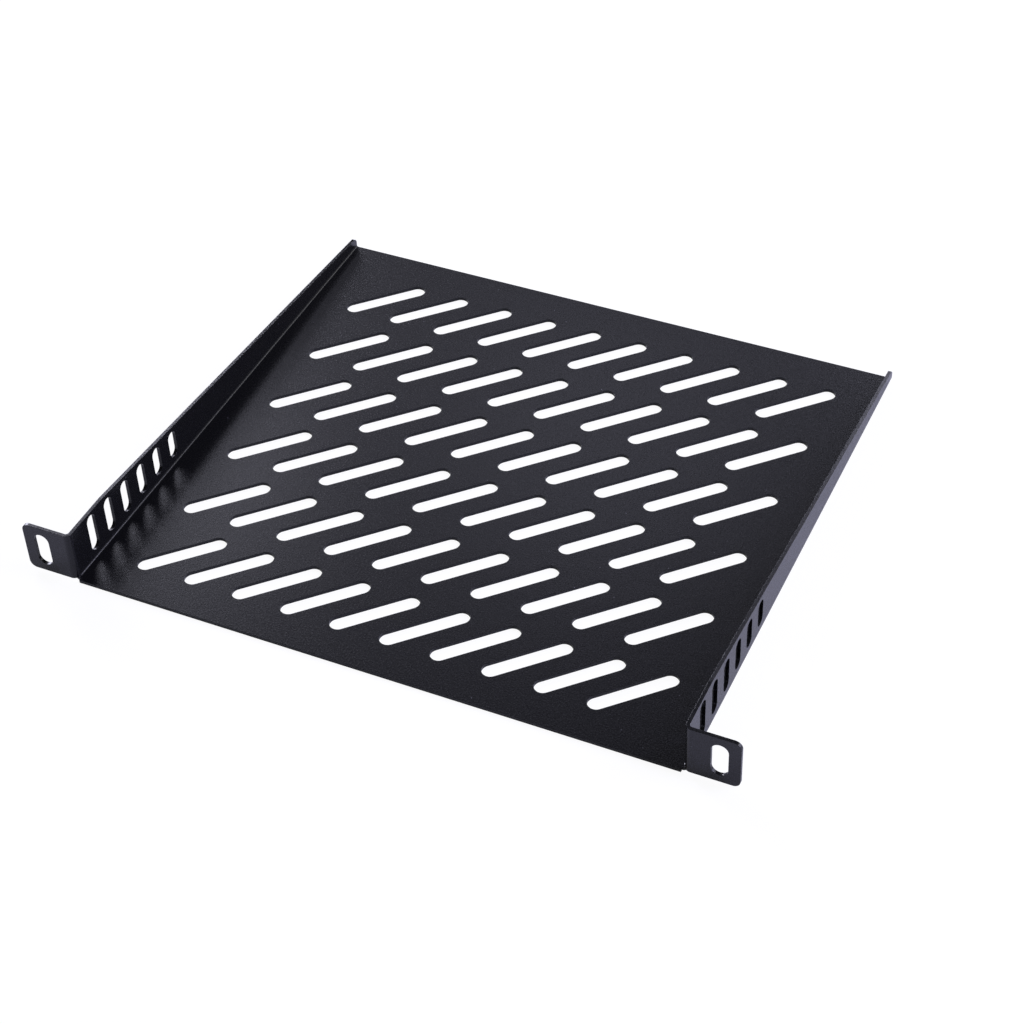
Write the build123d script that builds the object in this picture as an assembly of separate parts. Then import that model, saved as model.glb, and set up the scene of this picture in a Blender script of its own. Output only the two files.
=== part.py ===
from build123d import *
import os
from math import cos, radians, sin

# A vented shelf for a ten-inch rack, folded from one sheet of steel.
# The floor carries the equipment. Each long side is folded up into a wall that
# tapers towards the back, and the front end of each wall is folded outwards
# into an ear with one upright slot, which is screwed to the rack's front rail.
# X runs across the shelf, the front faces -Y and Z is up. All sizes are in mm.
# The origin is under the middle of the floor, at the level of its underside.

# The sheet and its folds
sheet = 1.2  # thickness of the steel
wall_fold_radius = 0.6  # inside radius between the floor and a wall
ear_fold_radius = 1.0  # inside radius between a wall and its ear

# The rack
rail_hole_spacing = 236.5  # between the holes of a ten-inch rack's two rails

# The tray
tray_depth = 200.0  # front edge to back edge
wall_height = 20.0  # underside of the floor to the level stretch of the wall's top
wall_back_height = 5.0  # the same at the back edge
wall_level_length = 20.5  # level stretch of the wall's top, from the front edge
wall_end_radius = 2.0  # rounding of the wall's top corner at the back

# The ears
rail_slot_width = 5.6
rail_slot_height = 13.0
rail_slot_to_wall = 10.25  # middle of the slot to the wall's outer face
rail_slot_to_edge = 6.75  # middle of the slot to the ear's outer edge
ear_corner_radius = 2.5  # rounding of the two free corners
relief_length = 1.0  # notch behind the front edge that frees the ear's fold

# The slanted vent slots in the floor
vent_length = 30.6  # over the round ends
vent_width = 5.9
vent_angle = 45.0  # degrees from X towards Y
vent_pitch_x = 18.0
vent_pitch_y = 30.0
vent_first_row = 24.0  # front edge to the middles of the first row
vent_side_margin = 10.0  # least solid floor beside the pattern
vent_back_margin = 10.0  # least solid floor behind it

# The upright slots in the walls, which get shorter as the wall gets lower
wall_slot_count = 6
wall_slot_width = 4.6
wall_slot_pitch = 10.1
wall_slot_first = 12.8  # front edge to the middle of the first slot
wall_slot_bottom = 4.2  # underside of the floor to the slots' lower ends
wall_slot_web = 1.8  # from the slots' upper ends up to the line of the taper

# Places that follow from these sizes
tray_width = rail_hole_spacing - 2 * rail_slot_to_wall  # over both walls
ear_span = rail_hole_spacing + 2 * rail_slot_to_edge
half_width = tray_width / 2
front = -tray_depth / 2
back = tray_depth / 2
fold_height = sheet + wall_fold_radius  # where the folded wall becomes flat
ear_fold_length = sheet + ear_fold_radius  # how far back the ear's fold reaches
ear_bottom = sheet  # the ears end level with the floor's upper face
taper = (wall_height - wall_back_height) / (tray_depth - wall_level_length)


def channel():
    """The floor and both walls at full height, with a round fold between them."""
    outer = Rectangle(tray_width, wall_height, align=(Align.CENTER, Align.MIN))
    outer = fillet(outer.vertices().sort_by(Axis.Y)[:2], fold_height)
    inner = Rectangle(tray_width - 2 * sheet, wall_height, align=(Align.CENTER, Align.MIN))
    inner = fillet(inner.vertices().sort_by(Axis.Y)[:2], wall_fold_radius)
    section = outer - Pos(0, sheet) * inner
    return extrude(Plane.XZ * section, tray_depth / 2, both=True)


def side_outline():
    """What the channel keeps, seen from the side: level at first, then tapered."""
    corners = [
        (front, 0),
        (back, 0),
        (back, wall_back_height),
        (front + wall_level_length, wall_height),
        (front, wall_height),
    ]
    outline = make_face(Polyline(*corners, close=True))
    top_back = outline.vertices().sort_by_distance((back, wall_back_height, 0))[0]
    outline = fillet(top_back, wall_end_radius)
    return extrude(Plane.YZ * outline, half_width, both=True)


def front_trim(side):
    """What a wall loses at the front: its length in the ear's fold, and the relief."""
    steps = [
        (front, 0),
        (front + relief_length, 0),
        (front + relief_length, ear_bottom),
        (front + ear_fold_length, ear_bottom),
        (front + ear_fold_length, wall_height),
        (front, wall_height),
    ]
    trim = Plane.YZ.offset(half_width - fold_height) * make_face(Polyline(*steps, close=True))
    trim = extrude(trim, fold_height)
    return trim if side > 0 else mirror(trim, Plane.YZ)


def ear(side):
    """The fold and the flat ear in front of a wall, with its slot for a rail screw."""
    centre = (half_width + ear_fold_radius, front + ear_fold_length)
    quarter = Pos(*centre) * (Circle(ear_fold_length) - Circle(ear_fold_radius))
    quarter &= Pos(*centre) * Rectangle(
        ear_fold_length, ear_fold_length, align=(Align.MAX, Align.MAX)
    )
    flat_length = ear_span / 2 - centre[0]
    flat = Pos(centre[0], front) * Rectangle(flat_length, sheet, align=(Align.MIN, Align.MIN))
    height = wall_height - ear_bottom
    solid = Pos(0, 0, ear_bottom) * extrude(quarter + flat, height)
    free_corners = solid.edges().filter_by(Axis.Y).group_by(Axis.X)[-1]
    solid = fillet(free_corners, ear_corner_radius)
    slot = SlotOverall(rail_slot_height, rail_slot_width, rotation=90)
    slot_place = Pos(rail_hole_spacing / 2, ear_bottom + height / 2)
    solid -= extrude(Plane.XZ.offset(-back) * slot_place * slot, tray_depth, both=True)
    return solid if side > 0 else mirror(solid, Plane.YZ)


def vent_places():
    """Middles of the floor's slots: centred across, and counted from the front."""
    reach = (vent_length - vent_width) / 2
    reach_x = reach * cos(radians(vent_angle)) + vent_width / 2
    reach_y = reach * sin(radians(vent_angle)) + vent_width / 2
    room_x = tray_width - 2 * (fold_height + vent_side_margin + reach_x)
    room_y = tray_depth - vent_first_row - vent_back_margin - reach_y
    columns = int(room_x / vent_pitch_x) + 1
    rows = int(room_y / vent_pitch_y) + 1
    first_x = -(columns - 1) * vent_pitch_x / 2
    return [
        (first_x + column * vent_pitch_x, front + vent_first_row + row * vent_pitch_y)
        for row in range(rows)
        for column in range(columns)
    ]


def vents():
    """Cutters for the floor's slanted slots."""
    slot = SlotOverall(vent_length, vent_width, rotation=vent_angle)
    return extrude(Sketch() + [Pos(*place) * slot for place in vent_places()], sheet)


def wall_slots():
    """Cutters for the walls' upright slots, which run right across the shelf."""
    slots = Sketch()
    for index in range(wall_slot_count):
        along = wall_slot_first + index * wall_slot_pitch
        top = wall_height - taper * (along - wall_level_length) - wall_slot_web
        middle = Pos(front + along, (top + wall_slot_bottom) / 2)
        slots += middle * SlotOverall(top - wall_slot_bottom, wall_slot_width, rotation=90)
    return extrude(Plane.YZ * slots, tray_width, both=True)


def shelf():
    """The whole folded sheet as one solid."""
    solid = channel() & side_outline()
    for side in (-1, 1):
        solid -= front_trim(side)
        solid += ear(side)
    return solid - vents() - wall_slots()


os.makedirs("parts", exist_ok=True)
export_step(shelf(), "parts/shelf.step")
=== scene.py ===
# %% [markdown]
# A vented shelf for a small equipment rack. The real one is a single sheet of steel,
# 1.2 mm thick: laser-cut or punched flat, folded, and then powder-coated black. It has
# no screws, seams or separate pieces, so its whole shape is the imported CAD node, and
# what is left for Blender is the finish, the light and the camera.

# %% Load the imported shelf
from math import cos, radians, sin

import bpy
from mathutils import Matrix, Vector


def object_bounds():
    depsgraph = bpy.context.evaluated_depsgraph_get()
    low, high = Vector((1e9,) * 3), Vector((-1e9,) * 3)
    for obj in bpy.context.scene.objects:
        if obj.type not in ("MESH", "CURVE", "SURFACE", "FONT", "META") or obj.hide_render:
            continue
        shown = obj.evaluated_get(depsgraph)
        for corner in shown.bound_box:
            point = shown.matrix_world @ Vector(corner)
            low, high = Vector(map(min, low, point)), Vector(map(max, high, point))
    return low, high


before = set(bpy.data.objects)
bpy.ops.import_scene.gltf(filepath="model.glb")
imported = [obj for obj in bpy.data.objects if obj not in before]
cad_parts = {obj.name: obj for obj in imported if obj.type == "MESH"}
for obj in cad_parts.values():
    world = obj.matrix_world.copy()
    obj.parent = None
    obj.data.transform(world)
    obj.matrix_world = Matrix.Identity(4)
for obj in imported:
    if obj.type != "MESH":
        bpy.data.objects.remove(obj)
cad_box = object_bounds()
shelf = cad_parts["shelf"]
MM = 0.001  # the scene is in metres, and its small sizes are written in millimetres
print("shelf box:", cad_box)

# %% [markdown]
# Three small helpers serve every material. Colours are easiest to choose as the sRGB
# hex values that a colour picker shows, but shaders work in linear light, so one
# function converts them. The second starts an empty material. The third adds a node,
# sets its values and links its inputs, which keeps a node tree readable as a list of
# its nodes.

# %% Helpers for materials
def linear(hex_colour):
    """An sRGB hex colour as the linear RGBA that a shader socket takes."""
    channels = [int(hex_colour[i:i + 2], 16) / 255 for i in (1, 3, 5)]
    light = []
    for c in channels:
        light.append(c / 12.92 if c <= 0.04045 else ((c + 0.055) / 1.055) ** 2.4)
    return light + [1.0]


def new_material(name):
    """An empty node material, its node tree and its output node."""
    material = bpy.data.materials.new(name)
    material.use_nodes = True
    tree = material.node_tree
    tree.nodes.clear()
    return material, tree, tree.nodes.new("ShaderNodeOutputMaterial")


def add_node(tree, kind, settings=None, values=None, links=None):
    """Adds a node, sets its properties and socket values, and links its inputs."""
    node = tree.nodes.new(kind)
    for name, value in (settings or {}).items():
        setattr(node, name, value)
    for name, value in (values or {}).items():
        node.inputs[name].default_value = value
    for name, source in (links or {}).items():
        tree.links.new(source, node.inputs[name])
    return node


print("the middle grey #808080 is", round(linear("#808080")[0], 3), "in linear light")

# %% [markdown]
# Satin black powder coat is a polyester powder, sprayed on dry and melted in an oven.
# It is a plastic film and not a metal, so it reflects like a dielectric: little when
# seen square on, and a lot at a grazing angle, which is why the outer wall looks pale.
# A Principled shader with the resin's IOR, and with its metallic left at zero, does
# the same. Colour, gloss and relief follow in the next cells. Their patterns all read
# Object coordinates, so they stay on the shelf wherever the camera stands.

# %% The powder coat's shader
COAT_IOR = 1.45  # polyester resin

powder_coat, coat_tree, coat_output = new_material("black_powder_coat")
coat = add_node(coat_tree, "ShaderNodeBsdfPrincipled", values={"IOR": COAT_IOR})
coat_tree.links.new(coat.outputs["BSDF"], coat_output.inputs["Surface"])
place = add_node(coat_tree, "ShaderNodeTexCoord").outputs["Object"]
shelf.data.materials.clear()
shelf.data.materials.append(powder_coat)
print("finish:", [m.name for m in shelf.data.materials])

# %% [markdown]
# While it melts, the film is drawn round every cut edge, so no edge is sharp and each
# one catches a thin line of light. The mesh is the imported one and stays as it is, so
# a Bevel node rounds the shading at the edges and not their shape.

# %% Rounded edges
EDGE_RADIUS = 0.1 * MM  # how far the film rounds a cut edge
EDGE_SAMPLES = 8

rounded = add_node(
    coat_tree,
    "ShaderNodeBevel",
    settings={"samples": EDGE_SAMPLES},
    values={"Radius": EDGE_RADIUS},
)
print("edges rounded over", round(EDGE_RADIUS / MM, 3), "mm")

# %% [markdown]
# Melting also leaves a soft waviness called orange peel, and a fine grain. They are
# only hundredths of a millimetre deep, too little to model, so each is a noise pattern
# that tilts the shading through a Bump node: the peel on the rounded edges, and the
# grain on the peel. A pattern's Scale is one over the size of its features in metres.

# %% Orange peel and grain
PEEL_SIZE = 2.5 * MM  # from one soft wave of the orange peel to the next
PEEL_HEIGHT = 0.012 * MM
GRAIN_SIZE = 0.6 * MM  # the real grain is finer, and is drawn as coarse as it shows
GRAIN_HEIGHT = 0.036 * MM

peel = add_node(
    coat_tree,
    "ShaderNodeTexNoise",
    values={"Scale": 1 / PEEL_SIZE, "Detail": 1.0, "Roughness": 0.4},
    links={"Vector": place},
)
wavy = add_node(
    coat_tree,
    "ShaderNodeBump",
    values={"Strength": 1.0, "Distance": PEEL_HEIGHT},
    links={"Height": peel.outputs["Fac"], "Normal": rounded.outputs["Normal"]},
)
grain = add_node(
    coat_tree,
    "ShaderNodeTexNoise",
    values={"Scale": 1 / GRAIN_SIZE, "Detail": 2.0, "Roughness": 0.7},
    links={"Vector": place},
)
grainy = add_node(
    coat_tree,
    "ShaderNodeBump",
    values={"Strength": 1.0, "Distance": GRAIN_HEIGHT},
    links={"Height": grain.outputs["Fac"], "Normal": wavy.outputs["Normal"]},
)
coat_tree.links.new(grainy.outputs["Normal"], coat.inputs["Normal"])
print("peel", round(PEEL_SIZE / MM, 3), "mm, grain", round(GRAIN_SIZE / MM, 3), "mm")

# %% [markdown]
# A satin coat isn't equally shiny all over: its gloss changes with the grain. One
# number for the roughness would look like plastic sheet, so a Map Range node turns the
# grain's heights into a band of roughness round the satin value.

# %% Satin gloss
COAT_ROUGHNESS = 0.24
ROUGHNESS_SPREAD = 0.08  # how far the roughness goes up and down with the grain
NOISE_LOW, NOISE_HIGH = 0.3, 0.7  # nearly all of a noise pattern lies between these

gloss = add_node(
    coat_tree,
    "ShaderNodeMapRange",
    values={
        "From Min": NOISE_LOW,
        "From Max": NOISE_HIGH,
        "To Min": COAT_ROUGHNESS - ROUGHNESS_SPREAD,
        "To Max": COAT_ROUGHNESS + ROUGHNESS_SPREAD,
    },
    links={"Value": grain.outputs["Fac"]},
)
coat_tree.links.new(gloss.outputs["Result"], coat.inputs["Roughness"])
print("roughness", COAT_ROUGHNESS, "give or take", ROUGHNESS_SPREAD)

# %% [markdown]
# The coat is a near black, and a few specks of dust are always baked into it. They
# could be laid out one by one, but a Voronoi pattern scatters them by itself: it cuts
# space into cells, and a dot round a cell's centre is a speck. Each cell also has a
# random colour, and only cells with a bright one show their speck.

# %% Colour and specks
COAT_BLACK = "#101013"
DUST_GREY = "#6c6c72"
SPECK_SPACING = 4.0 * MM  # between the places where a speck may lie
SPECK_RADIUS = 0.16 * MM
SPECK_BRIGHTNESS = 0.6  # a cell whose random colour is darker than this has no speck
COLOUR_A, COLOUR_B, COLOUR_RESULT = 6, 7, 2  # a Mix node's sockets for colours

cells = add_node(
    coat_tree,
    "ShaderNodeTexVoronoi",
    values={"Scale": 1 / SPECK_SPACING, "Randomness": 1.0},
    links={"Vector": place},
)
dots = add_node(
    coat_tree,
    "ShaderNodeMath",
    settings={"operation": "LESS_THAN"},
    values={1: SPECK_RADIUS / SPECK_SPACING},
    links={0: cells.outputs["Distance"]},
)
chosen = add_node(
    coat_tree,
    "ShaderNodeMath",
    settings={"operation": "GREATER_THAN"},
    values={1: SPECK_BRIGHTNESS},
    links={0: cells.outputs["Color"]},
)
specks = add_node(
    coat_tree,
    "ShaderNodeMath",
    settings={"operation": "MULTIPLY"},
    links={0: dots.outputs[0], 1: chosen.outputs[0]},
)
colour = add_node(
    coat_tree,
    "ShaderNodeMix",
    settings={"data_type": "RGBA"},
    values={COLOUR_A: linear(COAT_BLACK), COLOUR_B: linear(DUST_GREY)},
    links={0: specks.outputs[0]},
)
coat_tree.links.new(colour.outputs[COLOUR_RESULT], coat.inputs["Base Color"])
print("the coat has", len(coat_tree.nodes), "nodes")

# %% [markdown]
# The studio is a white floor with no horizon. A floor that is lit until it clips to
# white would also flood a black object with light. So the floor keeps a plain lighting
# level, and most of what the camera sees of it is a steady glow, which is white. A
# Light Path node tells what kind of ray is asking, and this helper gives each kind its
# own level: one for the camera, one for reflections and for what is seen through clear
# things, and one for the rest.

# %% A level for each kind of ray
NUMBER_A, NUMBER_B = 2, 3  # a Mix node's sockets for numbers


def ray_level(tree, camera, reflected, other):
    """One number for camera rays, one for reflected or clear ones, one for the rest."""
    rays = add_node(tree, "ShaderNodeLightPath").outputs
    indirect = add_node(
        tree,
        "ShaderNodeMath",
        settings={"operation": "MAXIMUM"},
        links={0: rays["Is Glossy Ray"], 1: rays["Is Transmission Ray"]},
    )
    unseen = add_node(
        tree,
        "ShaderNodeMix",
        values={NUMBER_A: other, NUMBER_B: reflected},
        links={0: indirect.outputs[0]},
    )
    level = add_node(
        tree,
        "ShaderNodeMix",
        values={NUMBER_B: camera},
        links={0: rays["Is Camera Ray"], NUMBER_A: unseen.outputs[0]},
    )
    return level.outputs[0]


print("levels for: the camera, reflections, and all else")

# %% [markdown]
# The floor is matt white paint. The part of it that doesn't glow stays ordinary paint,
# so the shelf's soft shadow still falls on it. Reflections show a little of the glow
# too, and the outer wall mirrors it at a grazing angle. From below the floor is clear,
# so that the shelf's underside can be looked at.

# %% Floor
FLOOR_WIDTH = 8.0  # metres
FLOOR_GAP = 0.05 * MM  # keeps the floor apart from the shelf's underside
FLOOR_PAINT = "#e2e2f2"  # white paint in a slightly cool light
GLOW_STRENGTH = 1.1
GLOW_SHARE = 0.85  # share of the floor's colour that is glow, as the camera sees it
GLOW_SHARE_REFLECTED = 0.2  # the same in reflections and through clear things

white_paint, floor_tree, floor_output = new_material("matt_white_paint")
paint = add_node(
    floor_tree, "ShaderNodeBsdfDiffuse", values={"Color": linear(FLOOR_PAINT)}
)
glow = add_node(floor_tree, "ShaderNodeEmission", values={"Strength": GLOW_STRENGTH})
top = add_node(
    floor_tree,
    "ShaderNodeMixShader",
    links={
        0: ray_level(floor_tree, GLOW_SHARE, GLOW_SHARE_REFLECTED, other=0.0),
        1: paint.outputs["BSDF"],
        2: glow.outputs["Emission"],
    },
)
clear_below = add_node(
    floor_tree,
    "ShaderNodeMixShader",
    links={
        0: add_node(floor_tree, "ShaderNodeNewGeometry").outputs["Backfacing"],
        1: top.outputs["Shader"],
        2: add_node(floor_tree, "ShaderNodeBsdfTransparent").outputs["BSDF"],
    },
)
floor_tree.links.new(clear_below.outputs["Shader"], floor_output.inputs["Surface"])

floor_height = cad_box[0][2] - FLOOR_GAP
bpy.ops.object.select_all(action="DESELECT")
bpy.ops.mesh.primitive_plane_add(size=FLOOR_WIDTH, location=(0, 0, floor_height))
floor = bpy.context.object
floor.name = "floor"
floor.data.materials.append(white_paint)
print("floor:", FLOOR_WIDTH, "m wide, its top at", round(floor_height, 6), "m")

# %% [markdown]
# The sky follows the same rule as the floor: white to the camera, and dim for the
# rest, because a bright one would turn a coat as dark as this grey.

# %% Sky
SKY_SEEN = 1.0
SKY_REFLECTED = 0.06
SKY_LIGHT = 0.03

sky = bpy.data.worlds.new("studio_sky")
sky.use_nodes = True
sky.node_tree.nodes.clear()
light = add_node(
    sky.node_tree,
    "ShaderNodeBackground",
    values={"Color": linear("#ffffff")},
    links={"Strength": ray_level(sky.node_tree, SKY_SEEN, SKY_REFLECTED, SKY_LIGHT)},
)
sky_output = sky.node_tree.nodes.new("ShaderNodeOutputWorld")
sky.node_tree.links.new(light.outputs["Background"], sky_output.inputs["Surface"])
bpy.context.scene.world = sky
print("sky:", SKY_SEEN, "to the camera and", SKY_LIGHT, "as light")

# %% [markdown]
# A black satin surface shows its lamps more than its colour. The camera looks down on
# the shelf from the front right, so the shelf's floor mirrors what stands behind it on
# the left. Two dim softboxes there give it an even dark grey, and a third, lower one
# reaches its back right corner. The four on the left stand beside the mirrored
# direction. The coat's roughness still carries some of their light to the camera,
# which makes the front left corner the brightest, and through the slots of the left
# wall they throw soft streaks. The wall hides them all from the floor beside it, which
# gives the dark band along the fold. The softbox at the back right draws the bright
# line in that fold. The two large ones on the right light the studio's floor, which
# the outer wall and the ears mirror.

# %% Lamps
LAMP_DISTANCE = 1.6  # metres
NEAR_LAMP = 0.6  # the same for the one near lamp
LEFT_TINT = "#ededff"
BACK_TINT = "#e8e8ff"
RIGHT_TINT = "#dedeff"
FOLD_TINT = "#ffffff"


def direction(azimuth, elevation):
    """A unit vector away from the shelf: degrees to the right of straight in front, and
    degrees above the floor."""
    turn, rise = radians(azimuth), radians(elevation)
    return Vector((sin(turn) * cos(rise), -cos(turn) * cos(rise), sin(rise)))


def softbox(name, bearing, size, power, tint, distance=LAMP_DISTANCE):
    """An area lamp that faces the shelf, from a bearing of (azimuth, elevation) in
    degrees. Its size is (width, height) in metres, and its power is in watts."""
    lamp = bpy.data.lights.new(name, "AREA")
    lamp.shape = "RECTANGLE"
    lamp.size, lamp.size_y = size
    lamp.energy = power
    lamp.color = linear(tint)[:3]
    stand = bpy.data.objects.new(name, lamp)
    away = direction(*bearing)
    stand.location = away * distance
    stand.rotation_euler = away.to_track_quat("Z", "Y").to_euler()
    bpy.context.collection.objects.link(stand)
    return stand


lamps = [
    softbox("left_low_softbox", (-126, 11), (1.0, 0.55), 18, LEFT_TINT),
    softbox("left_middle_softbox", (-138, 19), (0.3, 0.3), 3.0, LEFT_TINT),
    softbox("left_high_softbox", (-120, 27), (0.5, 0.5), 9, LEFT_TINT),
    softbox("left_near_softbox", (-125, 34), (0.2, 0.2), 0.19, LEFT_TINT, NEAR_LAMP),
    softbox("back_left_softbox", (-147, 40), (0.4, 0.4), 0.26, BACK_TINT),
    softbox("back_high_softbox", (-160, 40), (0.3, 0.3), 0.36, BACK_TINT),
    softbox("back_low_softbox", (180, 25), (0.5, 0.5), 2.7, BACK_TINT),
    softbox("right_back_softbox", (140, 20), (0.6, 0.6), 3.5, FOLD_TINT),
    softbox("right_low_softbox", (108, 20), (0.9, 0.9), 20, RIGHT_TINT),
    softbox("right_high_softbox", (95, 50), (0.6, 0.6), 9, RIGHT_TINT),
]
print("lamps:", [(lamp.name, round(lamp.data.energy, 2)) for lamp in lamps])

# %% [markdown]
# The camera's place, turn and lens were found by fitting this shelf's known sizes to
# the photograph, so the render and the photograph can be laid over each other. It is
# written as a person would set a tripod: the point it looks at, the bearing and
# height it looks from, the distance, and a slight roll.

# %% Camera
AIM = Vector((11.46, -14.44, 0.0)) * MM  # on the floor of the shelf
CAMERA_AZIMUTH = 26.50  # degrees to the right of straight in front
CAMERA_ELEVATION = 42.46
CAMERA_ROLL = -2.83
CAMERA_DISTANCE = 772.9 * MM
CAMERA_LENS = 80.53  # mm, for the sensor below
SENSOR_WIDTH = 36  # mm
VIEW_DEPTH = 50  # metres, well past the floor's far edge

back = direction(CAMERA_AZIMUTH, CAMERA_ELEVATION)
level = Vector((0, 0, 1)).cross(back).normalized()
right = Matrix.Rotation(radians(CAMERA_ROLL), 3, back) @ level
turn = Matrix((right, back.cross(right), back)).transposed().to_4x4()
lens = bpy.data.cameras.new("photo_camera")
lens.sensor_width = SENSOR_WIDTH
lens.lens = CAMERA_LENS
lens.clip_end = VIEW_DEPTH
camera = bpy.data.objects.new("photo_camera", lens)
camera.matrix_world = Matrix.Translation(AIM + back * CAMERA_DISTANCE) @ turn
bpy.context.collection.objects.link(camera)
bpy.context.scene.camera = camera
print("camera at", [round(v, 4) for v in camera.matrix_world.translation])

# %% [markdown]
# The Standard view transform shows colours as they are written.

# %% Finish
bpy.context.scene.view_settings.view_transform = "Standard"
